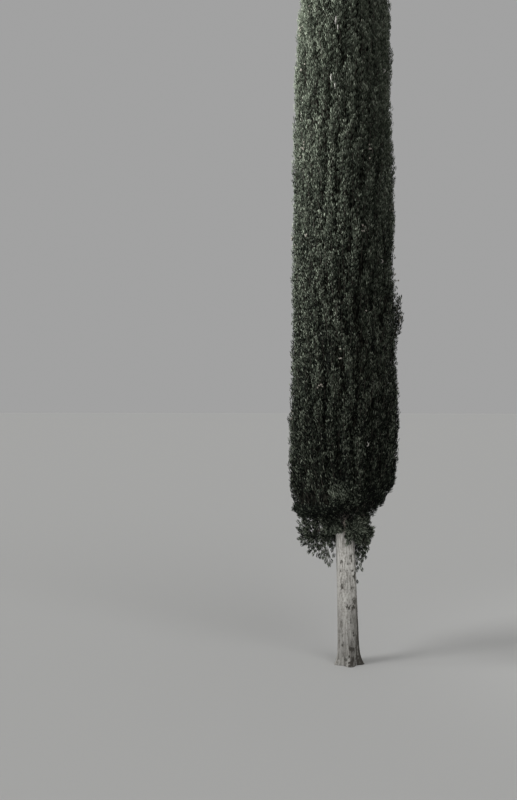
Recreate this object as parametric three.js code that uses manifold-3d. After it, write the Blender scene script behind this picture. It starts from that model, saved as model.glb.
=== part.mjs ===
// A pencil cypress: a tall evergreen whose boughs climb almost straight up the trunk and
// pack into one narrow column of upright plumes. The lower trunk is bare. Millimetres, +Z up,
// origin at the middle of the flat cut at ground level; the tree is seen along +Y.
import * as THREE from "three";
import { mergeVertices } from "three/addons/utils/BufferGeometryUtils.js";
import Module from "manifold-3d";

const wasm = await Module();
wasm.setup();

// Driving dimensions
const TREE_HEIGHT = 21500;
const CROWN_FOOT = 3160;
const CROWN_RADIUS = 1245;
const WIDEST_AT = 4900;
const TRUNK_RADIUS = 233;
const TRUNK_END = 19700;
const FLARE = 72;
const LEAN = 110;
const CLEAR = 0.35;

// The lowest boughs: how far below the crown's foot they leave the trunk, their radius there
// and at the tip of the limb, and the share of the limb that is seen below the crown
const BOUGH = { below: 330, radius: 58, tipRadius: 30, seen: 0.46 };

// The column narrows a little all the way up, and quickly near its tip
const SLOW_TAPER = 0.19;
const TIP_POWER = 4.4;

// How steeply the foliage climbs away from the trunk, and the share of the reach that is solid
const CLIMB = 2.0;
const CORE_SHARE = 0.87;
const CORE_INSIDE = 0.36;
const ROOT_SHARE = 0.7;
const CELL_GAP = 26;
const RIM_WAVE = 280;

// How far the crown's underside rises from the trunk to its rim: on the left, and how much more
// on the right
const RIM_RISE = { left: 300, more: 1200 };

// Tiers from the crown's foot to its tip: where a tier's lower side meets the trunk's axis,
// how many masses go round it, the turn of the first one, the plumes on each mass and the
// height that a plume climbs
const TIERS = [
  { name: "foot", low: null, masses: 6, turn: 30, plumes: 10, rise: 500 },
  { name: "low", low: 3300, masses: 5, turn: 36, plumes: 8, rise: 880 },
  { name: "lower_middle", low: 5900, masses: 5, turn: 0, plumes: 8, rise: 900 },
  { name: "middle", low: 8500, masses: 5, turn: 36, plumes: 8, rise: 900 },
  { name: "upper_middle", low: 11100, masses: 5, turn: 0, plumes: 8, rise: 880 },
  { name: "high", low: 13700, masses: 4, turn: 30, plumes: 9, rise: 820 },
  { name: "top", low: 16200, masses: 3, turn: 0, plumes: 9, rise: 680 },
  { name: "leader", low: 18400, masses: 1, turn: 0, plumes: 14, rise: 520 },
];

// The tuft that stands out of the right side of one mass, on plumes of its own
const TUFT = { tier: 1, height: 7650, turn: -18, out: 250, tall: 420, wide: 22, plumes: 3, rise: 620 };

const rad = THREE.MathUtils.degToRad;
const lerp = THREE.MathUtils.lerp;
const smoothstep = THREE.MathUtils.smoothstep;

// A repeatable number from 0 to 1 for any pair of whole numbers
function chance(a, b) {
  const s = Math.sin(a * 12.9898 + b * 78.233) * 43758.5453;
  return s - Math.floor(s);
}

function share(x) {
  return x - Math.floor(x);
}

// The trunk's axis leans a little to the left as it enters the crown, and sways in depth
function axisAt(z) {
  const x = -LEAN * smoothstep(z, 0, 5000);
  const y = 35 * Math.sin((2 * Math.PI * z) / TREE_HEIGHT);
  return new THREE.Vector2(x, y);
}

function trunkRadius(z) {
  return TRUNK_RADIUS * (1 - z / (TRUNK_END + 1300)) ** 0.85;
}

// The turn from one direction to another, the shorter way round
function angleFrom(from, to) {
  return Math.atan2(Math.sin(to - from), Math.cos(to - from));
}

// The crown's outer reach at a height and a direction round the axis, in radians from +X
function reach(z, a) {
  const u = Math.max(0, Math.min(1, (z - WIDEST_AT) / (TREE_HEIGHT - WIDEST_AT)));
  const body = 1 - SLOW_TAPER * u - (1 - SLOW_TAPER) * u ** TIP_POWER;
  const waves = 1 + 0.018 * Math.sin(2 * a + z / 1900) + 0.012 * Math.sin(3 * a - z / 1300);
  const off = angleFrom(rad(TUFT.turn), a);
  const tuft = Math.exp(-(((z - TUFT.height) / TUFT.tall) ** 2) - (off / rad(TUFT.wide)) ** 2);
  return CROWN_RADIUS * body * waves + TUFT.out * tuft;
}

// The crown's underside: a bowl whose rim lies low on the left and climbs towards the right
function foot(r, a) {
  const rise = RIM_RISE.left + RIM_RISE.more * Math.abs(Math.cos(a / 2)) ** 3;
  return CROWN_FOOT + rise * (r / CROWN_RADIUS) ** 3;
}

// A tier's lower side is a cone that opens upward, with three waves round its rim
function tierLow(k, r, a) {
  if (TIERS[k].low === null) return foot(r, a);
  return TIERS[k].low + CLIMB * r + RIM_WAVE * (r / CROWN_RADIUS) ** 2 * Math.sin(3 * a + 2.1 * k);
}

function tierHigh(k, r, a) {
  return k + 1 < TIERS.length ? tierLow(k + 1, r, a) : TREE_HEIGHT;
}

// A point of the crown from its height, its distance from the leaning axis and its direction
function crownPoint(z, r, a) {
  const axis = axisAt(z);
  return new THREE.Vector3(axis.x + r * Math.cos(a), axis.y + r * Math.sin(a), z);
}

function solid(geometry) {
  geometry.deleteAttribute("normal");
  geometry.deleteAttribute("uv");
  const merged = mergeVertices(geometry, 1e-2);
  return new wasm.Manifold(
    new wasm.Mesh({
      numProp: 3,
      vertProperties: merged.attributes.position.array,
      triVerts: new Uint32Array(merged.index.array),
    }),
  );
}

// Moves every vertex of a geometry to the place that a function gives for it
function reshape(geometry, place) {
  const position = geometry.attributes.position;
  const from = new THREE.Vector3();
  for (let i = 0; i < position.count; i++) {
    const to = place(from.fromBufferAttribute(position, i));
    position.setXYZ(i, to.x, to.y, to.z);
  }
  return solid(geometry);
}

// A round limb along a curve, its radius given along its length from 0 to 1
function limb(path, radiusAt, sides, steps) {
  const across = new THREE.Vector3(0.31, 0.95, 0.05);
  return reshape(new THREE.CylinderGeometry(1, 1, 1, sides, steps), (v) => {
    const t = v.y + 0.5;
    const along = path.getTangent(t);
    const first = across.clone().cross(along).normalize();
    const second = first.clone().cross(along);
    const r = radiusAt(t);
    return path
      .getPoint(t)
      .addScaledVector(first, v.x * r)
      .addScaledVector(second, v.z * r);
  });
}

// The trunk: one stem with five root swells at the ground, closer rings near its foot
function trunkSolid(extra) {
  return reshape(new THREE.CylinderGeometry(1, 1, 1, 14, 14), (v) => {
    const z = TRUNK_END * (v.y + 0.5) ** 2 + (v.y > 0.49 ? extra : 0);
    const turn = Math.atan2(-v.z, v.x);
    const swell = 1 + 0.16 * Math.exp(-z / 260) * Math.cos(5 * turn + 0.6);
    const flute = 1 + 0.03 * Math.cos(4 * turn + z / 1500);
    const ring = (trunkRadius(z) + FLARE * Math.exp(-z / 170)) * swell * flute + extra;
    const r = ring * Math.hypot(v.x, v.z);
    return crownPoint(z, r, turn);
  });
}

const trunk = trunkSolid(0);
const trunkRoom = trunkSolid(CLEAR);

// A plume of sprays: a blade with two pairs of upturned teeth, thickest at its middle.
// The rim runs from the root up one side, over the tip and down the other, and its places
// are shares of the half width and of the length.
const RIM = [
  { out: 0, up: 0 },
  { out: 1, up: 0.4 },
  { out: 0.48, up: 0.48 },
  { out: 0.7, up: 0.73 },
  { out: 0, up: 1 },
];
const MID_RIB = 0.4;
const PLUME_THICKNESS = 0.1;
const PLUME_HALF_WIDTH = 0.21;
const LOOSE_SPRAY_HALF_WIDTH = 0.3;

function plume(root, tip, halfWidth, roll) {
  const up = tip.clone().sub(root);
  const length = up.length();
  up.normalize();
  const side = new THREE.Vector3(-root.y, root.x, 0).cross(up).cross(up).normalize();
  side.applyAxisAngle(up, roll);
  const face = side.clone().cross(up);
  const last = RIM.length - 1;
  const corners = 2 * last;
  return reshape(new THREE.SphereGeometry(1, corners, 2), (v) => {
    const pole = Math.abs(v.y) > 0.5;
    const turn = Math.atan2(v.z, -v.x) / (2 * Math.PI);
    const step = Math.round(turn * corners + corners) % corners;
    const point = RIM[step > last ? corners - step : step];
    const out = pole ? 0 : point.out * (step > last ? -1 : 1);
    const bulge = pole ? Math.sign(v.y) / 2 : 0;
    return root
      .clone()
      .addScaledVector(up, length * (pole ? MID_RIB : point.up))
      .addScaledVector(side, length * halfWidth * out)
      .addScaledVector(face, length * PLUME_THICKNESS * bulge);
  });
}

// Whether a point is inside a mass's own space, with half a gap to spare on every side
function inCell(cell, p, room) {
  const axis = axisAt(p.z);
  const x = p.x - axis.x;
  const y = p.y - axis.y;
  const r = Math.hypot(x, y);
  const a = Math.atan2(y, x);
  const off = angleFrom(cell.middle, a);
  const beside = cell.half < Math.PI ? r * Math.sin(cell.half - Math.abs(off)) : room;
  return (
    beside >= room &&
    r <= reach(p.z, a) + 12 &&
    p.z >= tierLow(cell.tier, r, a) + room &&
    p.z <= tierHigh(cell.tier, r, a) - (cell.tier + 1 < TIERS.length ? 2 * room : 0)
  );
}

function vertices(made) {
  const mesh = made.getMesh();
  const found = [];
  for (let i = 0; i < mesh.numVert; i++) {
    const at = i * mesh.numProp;
    found.push(new THREE.Vector3().fromArray(mesh.vertProperties, at));
  }
  return found;
}

// The heights between which a mass's tier lies at a share of the reach, in one direction
function heightsAt(cell, a, part) {
  let low = TIERS[cell.tier].low ?? CROWN_FOOT;
  let high = low;
  for (let i = 0; i < 4; i++) {
    low = tierLow(cell.tier, part * reach(low, a), a);
    high = tierHigh(cell.tier, part * reach(high, a), a);
  }
  return [low, high];
}

// The dense inside of a mass: a wedge of its tier that narrows a little at both ends
function core(cell) {
  return reshape(new THREE.BoxGeometry(1, 1, 1, 2, 3, 1), (v) => {
    const q = v.y + 0.5;
    const ends = Math.abs(2 * q - 1) ** 3;
    const a = cell.middle + 2 * v.x * (cell.half - 0.03) * (1 - 0.12 * ends);
    const [low, high] = heightsAt(cell, a, CORE_SHARE);
    const part = v.z > 0 ? CORE_SHARE * (1 - 0.1 * ends) : CORE_INSIDE;
    const r = reach(lerp(low, high, q), a) * part;
    const bottom = tierLow(cell.tier, r, a) + 60;
    const top = tierHigh(cell.tier, r, a) - 110;
    return crownPoint(lerp(bottom, top, q), r, a);
  });
}

// The leader's dense inside: a spindle round the tip of the trunk
function leaderCore(cell) {
  const bottom = TIERS[cell.tier].low + 120;
  return reshape(new THREE.SphereGeometry(1, 7, 6), (v) => {
    const z = lerp(bottom, TREE_HEIGHT - 260, (v.y + 1) / 2);
    const r = reach(z, 0) * CORE_SHARE * Math.hypot(v.x, v.z);
    return crownPoint(z, Math.min(r, (z - bottom) / CLIMB), Math.atan2(-v.z, v.x));
  });
}

// The limb inside a mass, rising from the trunk's middle along the slope of its tier
function stem(cell, startZ, startRadius, endRadius) {
  const out = cell.half < Math.PI ? 0.56 * reach(startZ + 1300, cell.middle) : 0;
  const endZ = cell.half < Math.PI ? startZ + CLIMB * out : TREE_HEIGHT;
  const path = new THREE.QuadraticBezierCurve3(
    crownPoint(startZ, 0, 0),
    crownPoint(lerp(startZ, endZ, 0.36), out * 0.5, cell.middle),
    crownPoint(endZ, out, cell.middle),
  );
  return limb(path, (t) => lerp(startRadius, endRadius, t), 5, 3);
}

// Plumes spread evenly over a mass's outer face, each rooted deep in the core. One that
// would leave the mass's space is made shorter, and left out if that isn't enough.
function plumesOf(cell) {
  const grown = [];
  for (let i = 0; i < TIERS[cell.tier].plumes; i++) {
    for (const size of [1, 0.8, 0.62]) {
      const blade = placedPlume(cell, i, size);
      if (vertices(blade).every((p) => inCell(cell, p, CELL_GAP / 2))) {
        grown.push(blade);
        break;
      }
    }
  }
  return grown;
}

function placedPlume(cell, i, size) {
  const across = share((i + 0.5) * 0.7549 + chance(cell.seed, 1));
  const upward = share((i + 0.5) * 0.5698 + chance(cell.seed, 2));
  const a = cell.middle + (2 * across - 1) * (cell.half - 0.14);
  const rise = TIERS[cell.tier].rise * size * lerp(0.85, 1.15, chance(cell.seed, 10 + i));
  const lowest = heightsAt(cell, a, ROOT_SHARE)[0] + 130;
  const highest = heightsAt(cell, a, 1)[1] - rise - 40;
  const rootZ = lerp(lowest, highest, upward);
  const tipZ = rootZ + rise;
  const tipR = reach(tipZ, a) * lerp(1, 0.95, chance(cell.seed, 40 + i));
  const swirl = 0.12 * (chance(cell.seed, 70 + i) - 0.5);
  const roll = rad(lerp(-45, 45, chance(cell.seed, 100 + i)));
  const root = crownPoint(rootZ, ROOT_SHARE * reach(rootZ, a), a);
  return plume(root, crownPoint(tipZ, tipR, a + swirl), PLUME_HALF_WIDTH, roll);
}

// The plumes of the tuft, side by side, on the mass that it stands out of
function tuftPlumes(cell) {
  const turn = rad(TUFT.turn);
  if (cell.tier !== TUFT.tier || Math.abs(angleFrom(cell.middle, turn)) > cell.half) return [];
  return Array.from({ length: TUFT.plumes }, (_, i) => {
    const a = turn + 0.13 * (i - (TUFT.plumes - 1) / 2);
    const tipZ = TUFT.height + 260 - 150 * (i % 2);
    const rootZ = tipZ - TUFT.rise;
    const root = crownPoint(rootZ, ROOT_SHARE * reach(rootZ, a), a);
    return plume(root, crownPoint(tipZ, reach(tipZ, a), a), PLUME_HALF_WIDTH, rad(30 * (i - 1)));
  });
}

// One body from several solids, without loose scraps, held clear of the trunk
function fuse(solids) {
  const joined = solids.reduce((all, one) => all.add(one)).subtract(trunkRoom);
  const pieces = joined.decompose().sort((a, b) => b.volume() - a.volume());
  return pieces[0];
}

function asMesh(name, made, material) {
  const data = made.getMesh();
  const geometry = new THREE.BufferGeometry();
  geometry.setAttribute("position", new THREE.BufferAttribute(data.vertProperties, 3));
  geometry.setIndex(new THREE.BufferAttribute(data.triVerts, 1));
  geometry.computeVertexNormals();
  const mesh = new THREE.Mesh(geometry, material);
  mesh.name = name;
  return mesh;
}

const bark = new THREE.MeshStandardMaterial({ color: 0xb7b1a3, roughness: 0.9, metalness: 0 });
const limbBark = new THREE.MeshStandardMaterial({ color: 0x8d8577, roughness: 0.9, metalness: 0 });
const foliage = new THREE.MeshStandardMaterial({ color: 0x2e3a2a, roughness: 0.8, metalness: 0 });

// A lowest bough, which shows under the crown, and the stem of its mass, which carries the
// same bent limb on from just beyond the bough's end
function boughAndStem(cell) {
  const out = 0.6 * reach(CROWN_FOOT + 1000, cell.middle);
  const path = new THREE.QuadraticBezierCurve3(
    crownPoint(CROWN_FOOT - BOUGH.below, 0, 0),
    crownPoint(CROWN_FOOT - 120, out * 0.62, cell.middle),
    crownPoint(CROWN_FOOT + 900, out, cell.middle),
  );
  const full = limb(path, (t) => lerp(BOUGH.radius, BOUGH.tipRadius, t), 6, 6);
  const normal = path.getTangent(BOUGH.seen);
  const offset = path.getPoint(BOUGH.seen).dot(normal);
  const [beyond, before] = full.splitByPlane(normal.toArray(), offset);
  const [rest] = beyond.splitByPlane(normal.toArray(), offset + CLEAR);
  return { bough: before.subtract(trunkRoom), stem: rest };
}

// The ragged skirt under the crown: thin limbs from the trunk between the lowest boughs, with
// twigs and loose sprays that hang lower the nearer they are to the trunk. It reaches furthest
// on the left, and lowest behind the trunk on the right. Heights are those of the spray tips.
const SKIRTS = [
  { name: "skirt_right", turn: 0, out: 660, outer: 2800, inner: 2300, twigs: 3 },
  { name: "skirt_right_back", turn: 60, out: 620, outer: 2600, inner: 1780, twigs: 3 },
  { name: "skirt_left_back", turn: 120, out: 800, outer: 2620, inner: 2200, twigs: 3 },
  { name: "skirt_left", turn: 180, out: 1060, outer: 2640, inner: 2060, twigs: 4 },
  { name: "skirt_left_front", turn: 240, out: 660, outer: 2960, inner: 2740, twigs: 3 },
  { name: "skirt_right_front", turn: 300, out: 600, outer: 3000, inner: 2860, twigs: 3 },
];
const SKIRT_HALF = rad(30);
const SKIRT_INSIDE = 330;
const BOUGH_ROOM = 75;

// Whether a point of the skirt is clear of the boughs beside it and of the crown above it
function inSkirt(middle, p) {
  const axis = axisAt(p.z);
  const r = Math.hypot(p.x - axis.x, p.y - axis.y);
  const a = Math.atan2(p.y - axis.y, p.x - axis.x);
  const off = Math.abs(angleFrom(middle, a));
  const room = p.z > CROWN_FOOT - BOUGH.below - 100 ? BOUGH_ROOM : CELL_GAP / 2;
  return r * Math.sin(SKIRT_HALF - off) >= room && p.z < foot(r, a) - CELL_GAP;
}

function skirt(design, seed) {
  const middle = rad(design.turn);
  const start = CROWN_FOOT - 150;
  const path = new THREE.QuadraticBezierCurve3(
    crownPoint(start, 0, 0),
    crownPoint(start + 20, design.out * 0.45, middle),
    crownPoint(lerp(start, design.outer, 0.6), design.out * 0.74, middle),
  );
  const grown = [limb(path, (t) => lerp(26, 10, t), 5, 3)];
  for (let i = 0; i < design.twigs; i++) {
    const t = (i + 0.5) / design.twigs;
    const from = path.getPoint(lerp(0.58, 0.98, t));
    const side = (i % 2 ? 1 : -1) * rad(5 + 10 * chance(seed, i));
    const out = lerp(SKIRT_INSIDE, design.out, t);
    const hang = lerp(design.inner, design.outer, t ** 0.7);
    const tip = crownPoint(hang, out, middle + side);
    const aside = crownPoint(lerp(hang, start, 0.7), out * 1.06, middle - side * 1.3);
    const fork = from.clone().lerp(tip, 0.4);
    const twig = limb(new THREE.LineCurve3(from, fork), (s) => lerp(12, 9, s), 3, 1);
    const sprays = [tip, aside].map((end, k) => {
      const root = fork.clone().lerp(from, 0.06 + 0.6 * k);
      const roll = rad(lerp(-90, 90, chance(seed, 60 + 2 * i + k)));
      return plume(root, end, LOOSE_SPRAY_HALF_WIDTH, roll);
    });
    const kept = sprays.filter((spray) => vertices(spray).every((p) => inSkirt(middle, p)));
    if (kept.length) grown.push(twig, ...kept);
  }
  return fuse(grown);
}

const tree = new THREE.Group();
tree.add(asMesh("trunk", trunk, bark));

TIERS.forEach((tier, k) => {
  for (let j = 0; j < tier.masses; j++) {
    const cell = {
      tier: k,
      seed: k * 10 + j,
      middle: rad(tier.turn + (360 * j) / tier.masses),
      half: Math.PI / tier.masses,
    };
    const label = tier.masses > 1 ? "_" + (j + 1) : "";
    const parts = [];
    if (k === 0) {
      const made = boughAndStem(cell);
      tree.add(asMesh("bough" + label, made.bough, limbBark));
      parts.push(core(cell), made.stem);
    } else if (tier.masses > 1) {
      const startZ = (tier.low + TIERS[k + 1].low) / 2;
      parts.push(core(cell), stem(cell, startZ, 46 - 4 * k, 16));
    } else {
      parts.push(leaderCore(cell), stem(cell, TRUNK_END - 500, 14, 10));
    }
    parts.push(...plumesOf(cell), ...tuftPlumes(cell));
    tree.add(asMesh("foliage_" + tier.name + label, fuse(parts), foliage));
  }
});

SKIRTS.forEach((design, i) => {
  tree.add(asMesh(design.name, skirt(design, 90 + i), foliage));
});

export default tree;
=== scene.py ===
import math

import bpy
import numpy as np
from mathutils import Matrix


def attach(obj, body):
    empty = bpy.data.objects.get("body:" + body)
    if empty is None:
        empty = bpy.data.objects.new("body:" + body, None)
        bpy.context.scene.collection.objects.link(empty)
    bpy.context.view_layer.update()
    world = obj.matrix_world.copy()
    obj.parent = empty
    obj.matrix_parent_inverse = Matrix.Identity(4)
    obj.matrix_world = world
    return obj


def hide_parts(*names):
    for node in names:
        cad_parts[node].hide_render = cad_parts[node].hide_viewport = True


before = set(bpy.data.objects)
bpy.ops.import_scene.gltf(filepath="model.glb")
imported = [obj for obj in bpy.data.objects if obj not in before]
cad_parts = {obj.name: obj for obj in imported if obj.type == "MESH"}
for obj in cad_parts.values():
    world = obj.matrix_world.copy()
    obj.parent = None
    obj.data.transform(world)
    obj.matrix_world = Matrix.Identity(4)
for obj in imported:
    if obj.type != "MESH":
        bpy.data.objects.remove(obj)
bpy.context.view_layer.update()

# Trunk
# One straight living stem, bare for its lowest three metres. Its pale bark is a web of long
# upright fibres that twist a little, flaked dark in places and darker near the ground, with
# painted shade on its right side and in a ragged strip up its right edge, and five root swells
# at the ground.
TREE_HEIGHT = 21.5
TRUNK_END = 19.7
TRUNK_RADIUS = 0.233
# The taper would reach nothing at its end, 1.3 m above the trunk's own
TAPER = {"end": 21.0, "power": 0.85}
FLARE = 0.072
FLARE_HEIGHT = 0.17
SWELLS = {"count": 5, "turn": 0.6, "size": 0.16, "height": 0.26}
FLUTES = {"count": 4, "size": 0.03, "height": 1.5}
LEAN = 0.11
LEAN_HEIGHT = 5.0
SWAY = 0.035
BARE_TOP = 4.4
TRUNK_SIDES = 220
BARE_ROWS = 330
HIDDEN_ROWS = 36
FIBRES_ROUND = 34
FIBRE_TWIST = 0.03
FIBRE_DEPTH = 0.007
LUMPS_ROUND = 7
LUMP_DEPTH = 0.016
FULL_RELIEF_RADIUS = 0.1
FLAKE_DEPTH = 0.007
FLECKS_ROUND = 34
FLECK_GROUPS_ROUND = 11
RAGGED_ROUND = 80
# The bark is darker near the ground and in the furrows there
GROUND_DARKENING = {"least": 0.34, "in_furrows": 0.4, "height": 1.3}
# Painted shade: the bark is painted darker towards its right side and in a ragged strip up its right
# edge
SIDE_PAINTED_SHADE = {"turn": math.radians(-20), "mean": 0.68, "more": 0.42}
EDGE_PAINTED_SHADE = {"turn": math.radians(-12), "least": 0.15, "ragged": 0.35, "power": 40}
PALE_BARK = (0.485, 0.474, 0.446)
DEEP_BARK = (0.168, 0.160, 0.144)
# The dark colour of flaked bark, which also paints the shade of the right side and edge
FLAKED_AND_SHADED_BARK = (0.065, 0.06, 0.052)
# The dark flakes that show on the near side, by their turn from +X and their height
FLAKES = (
    {"turn": 338, "height": 2.43, "wide": 0.035, "tall": 0.06},
    {"turn": 241, "height": 2.25, "wide": 0.045, "tall": 0.05},
    {"turn": 311, "height": 2.07, "wide": 0.04, "tall": 0.03},
    {"turn": 232, "height": 2.06, "wide": 0.025, "tall": 0.03},
    {"turn": 241, "height": 1.72, "wide": 0.045, "tall": 0.07},
    {"turn": 306, "height": 1.69, "wide": 0.05, "tall": 0.035},
    {"turn": 318, "height": 1.4, "wide": 0.07, "tall": 0.09},
    {"turn": 308, "height": 1.26, "wide": 0.06, "tall": 0.07},
    {"turn": 276, "height": 1.29, "wide": 0.08, "tall": 0.06},
    {"turn": 303, "height": 0.66, "wide": 0.028, "tall": 0.16},
    {"turn": 288, "height": 0.95, "wide": 0.016, "tall": 0.11},
)


def lerp(a, b, t):
    return a + (b - a) * t


def chance(a, b):
    """A repeatable number from 0 to 1: what is left of a large multiple of a sine."""
    s = np.sin(np.asarray(a) * 12.9898 + np.asarray(b) * 78.233) * 43758.5453
    return s - np.floor(s)


def axis_at(z):
    """The trunk's middle: a smooth step to the left over the lowest 5 m, and a slow sway."""
    t = np.clip(z / LEAN_HEIGHT, 0, 1)
    return -LEAN * t * t * (3 - 2 * t), SWAY * np.sin(2 * math.pi * z / TREE_HEIGHT)


def noise(x, y, across, seed):
    """Smooth noise from 0 to 1 that repeats every `across` cells in x: the chances at the four
    corners of the cell round each point, blended by the smooth step of its place in the cell."""
    column, row = np.floor(x), np.floor(y)
    fx, fy = x - column, y - row
    fx, fy = fx * fx * (3 - 2 * fx), fy * fy * (3 - 2 * fy)
    left, right = column % across, (column + 1) % across
    low = lerp(chance(left + seed, row), chance(right + seed, row), fx)
    high = lerp(chance(left + seed, row + 1), chance(right + seed, row + 1), fx)
    return lerp(low, high, fy)


def bark_fibres(turns, z, cells, seed):
    """Height of long upright fibres, 0 in a furrow and 1 on a ridge: the fold of an upright noise
    about its middle, with a finer noise on top. turns runs from 0 to 1 round the stem."""
    twisted = turns + FIBRE_TWIST * z + 0.006 * np.sin(z * 2.3)
    wide = noise(twisted * cells, z * 1.5, cells, seed)
    fine = noise(twisted * cells * 3, z * 4.5, cells * 3, seed + 300)
    return np.clip(0.7 * np.abs(2 * wide - 1) ** 0.6 + 0.3 * fine, 0, 1)


def mesh_piece(name, corners, triangles, materials, tones=None, smooth=False):
    """A mesh object from arrays: corners by 3, triangles by 3, and each one's material."""
    mesh = bpy.data.meshes.new(name)
    mesh.vertices.add(len(corners))
    mesh.vertices.foreach_set("co", np.asarray(corners, np.float32).ravel())
    mesh.loops.add(3 * len(triangles))
    mesh.loops.foreach_set("vertex_index", np.asarray(triangles, np.int32).ravel())
    mesh.polygons.add(len(triangles))
    mesh.polygons.foreach_set("loop_start", np.arange(0, 3 * len(triangles), 3, dtype=np.int32))
    for material in materials:
        mesh.materials.append(material)
    if tones is not None:
        mesh.polygons.foreach_set("material_index", np.asarray(tones, np.int32))
    mesh.update(calc_edges=True)
    if smooth:
        mesh.shade_smooth()
    piece = bpy.data.objects.new(name, mesh)
    bpy.context.collection.objects.link(piece)
    return piece


def sleeve(name, points, material, values=None):
    """A closed round skin from a grid of points, rows by columns, whose columns join round: two
    triangles to each cell, and a fan to the middle of the first and of the last row. values are
    attributes of the points, by name."""
    rows, columns = points.shape[:2]
    here = np.arange(rows * columns).reshape(rows, columns)
    beside = np.roll(here, -1, axis=1)
    quads = np.stack([here[:-1], beside[:-1], beside[1:], here[1:]], axis=-1).reshape(-1, 4)
    first, last = rows * columns, rows * columns + 1
    faces = np.concatenate([
        quads[:, [0, 1, 2]],
        quads[:, [0, 2, 3]],
        np.stack([beside[0], here[0], np.full(columns, first)], axis=-1),
        np.stack([here[-1], beside[-1], np.full(columns, last)], axis=-1),
    ])
    corners = np.concatenate([points.reshape(-1, 3), points[[0, -1]].mean(1)])
    piece = mesh_piece(name, corners, faces, [material], smooth=True)
    for key, grid in (values or {}).items():
        layer = piece.data.attributes.new(key, "FLOAT", "POINT")
        layer.data.foreach_set("value", np.append(grid, grid[[0, -1]].mean(1)).astype(np.float32))
    return piece


# Numbers of node sockets: a mix node's two colours and its result, the place in the object's own
# frame, and an attribute's value
MIX_COLOURS = (6, 7)
MIX_RESULT = 2
OBJECT_PLACE = 3
ATTRIBUTE_VALUE = 2


class Shade:
    """A socket in a material's node tree. Sums on it add Math nodes, and node() adds any other
    and returns one of its outputs, by number."""

    def __init__(self, tree, socket=None):
        self.tree, self.socket = tree, socket

    def node(self, kind, settings=None, inputs=None, output=0):
        made = self.tree.nodes.new(kind)
        for key, value in (settings or {}).items():
            setattr(made, key, value)
        for key, value in (inputs or {}).items():
            if isinstance(value, Shade):
                self.tree.links.new(value.socket, made.inputs[key])
            else:
                made.inputs[key].default_value = value
        return Shade(self.tree, made.outputs[output])

    def maths(self, operation, first, second):
        return self.node("ShaderNodeMath", {"operation": operation}, {0: first, 1: second})

    def __add__(self, other):
        return self.maths("ADD", self, other)

    def __sub__(self, other):
        return self.maths("SUBTRACT", self, other)

    def __mul__(self, other):
        return self.maths("MULTIPLY", self, other)

    def blend(self, first, second):
        """The first colour where this is 0 and the second where it is 1."""
        inputs = {0: self}
        for key, value in zip(MIX_COLOURS, (first, second)):
            inputs[key] = (*value, 1) if isinstance(value, tuple) else value
        return self.node("ShaderNodeMix", {"data_type": "RGBA"}, inputs, MIX_RESULT)

    def feed(self, socket):
        self.tree.links.new(self.socket, socket)


def new_material(name, settings):
    """A material whose shader's own sockets hold the given plain values, with its node tree and
    that shader."""
    made = bpy.data.materials.new(name)
    made.use_nodes = True
    shader = made.node_tree.nodes["Principled BSDF"]
    for key, value in settings.items():
        shader.inputs[key].default_value = (*value, 1) if isinstance(value, tuple) else value
    return made, Shade(made.node_tree), shader


def trunk_radius(z):
    """The stem's radius without its flare: by a power of what is left of the taper."""
    return TRUNK_RADIUS * (1 - z / TAPER["end"]) ** TAPER["power"]


pale_bark, shade, shader = new_material(
    "pale_trunk_bark", {"Roughness": 0.92, "Specular IOR Level": 0.2}
)
place = shade.node("ShaderNodeTexCoord", output=OBJECT_PLACE)
upright = shade.node("ShaderNodeMapping", {}, {"Vector": place, "Scale": (1.0, 1.0, 0.2)})
long_drawn = shade.node("ShaderNodeMapping", {}, {"Vector": place, "Scale": (1.0, 1.0, 0.06)})
blotch = shade.node("ShaderNodeTexNoise", {}, {"Vector": upright, "Scale": 7.0, "Detail": 5.0})
streak = shade.node("ShaderNodeTexNoise", {}, {"Vector": upright, "Scale": 27.0, "Detail": 5.0})
strand = shade.node("ShaderNodeTexNoise", {}, {"Vector": long_drawn, "Scale": 58.0, "Detail": 5.0})
speck = shade.node("ShaderNodeTexNoise", {}, {"Vector": place, "Scale": 25.0, "Detail": 5.0})
fibre = shade.node("ShaderNodeAttribute", {"attribute_name": "fibre"}, output=ATTRIBUTE_VALUE)
flaked_and_shaded = shade.node("ShaderNodeAttribute", {"attribute_name": "flaked_and_shaded"}, output=ATTRIBUTE_VALUE)
# Weighted noises less a level: 0 and under gives the first colour, 1 and over the second
height = fibre * 0.6 + strand * 2.0 + streak * 1.8 + blotch * 1.3 + speck * 1.5 - 3.05
body = height.blend(DEEP_BARK, PALE_BARK)
# Flaked bark and the painted shade of the right side both turn to the dark flaked colour
patch = flaked_and_shaded * 2.1 + strand * 2.6 + speck * 1.4 + streak * 1.4 - 3.3
patch.blend(body, FLAKED_AND_SHADED_BARK).feed(shader.inputs["Base Color"])
bark_bump = shade.node(
    "ShaderNodeBump", {}, {"Height": strand * 0.8 + streak * 0.4, "Distance": 0.008, "Strength": 0.9}
)
bark_bump.feed(shader.inputs["Normal"])

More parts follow.
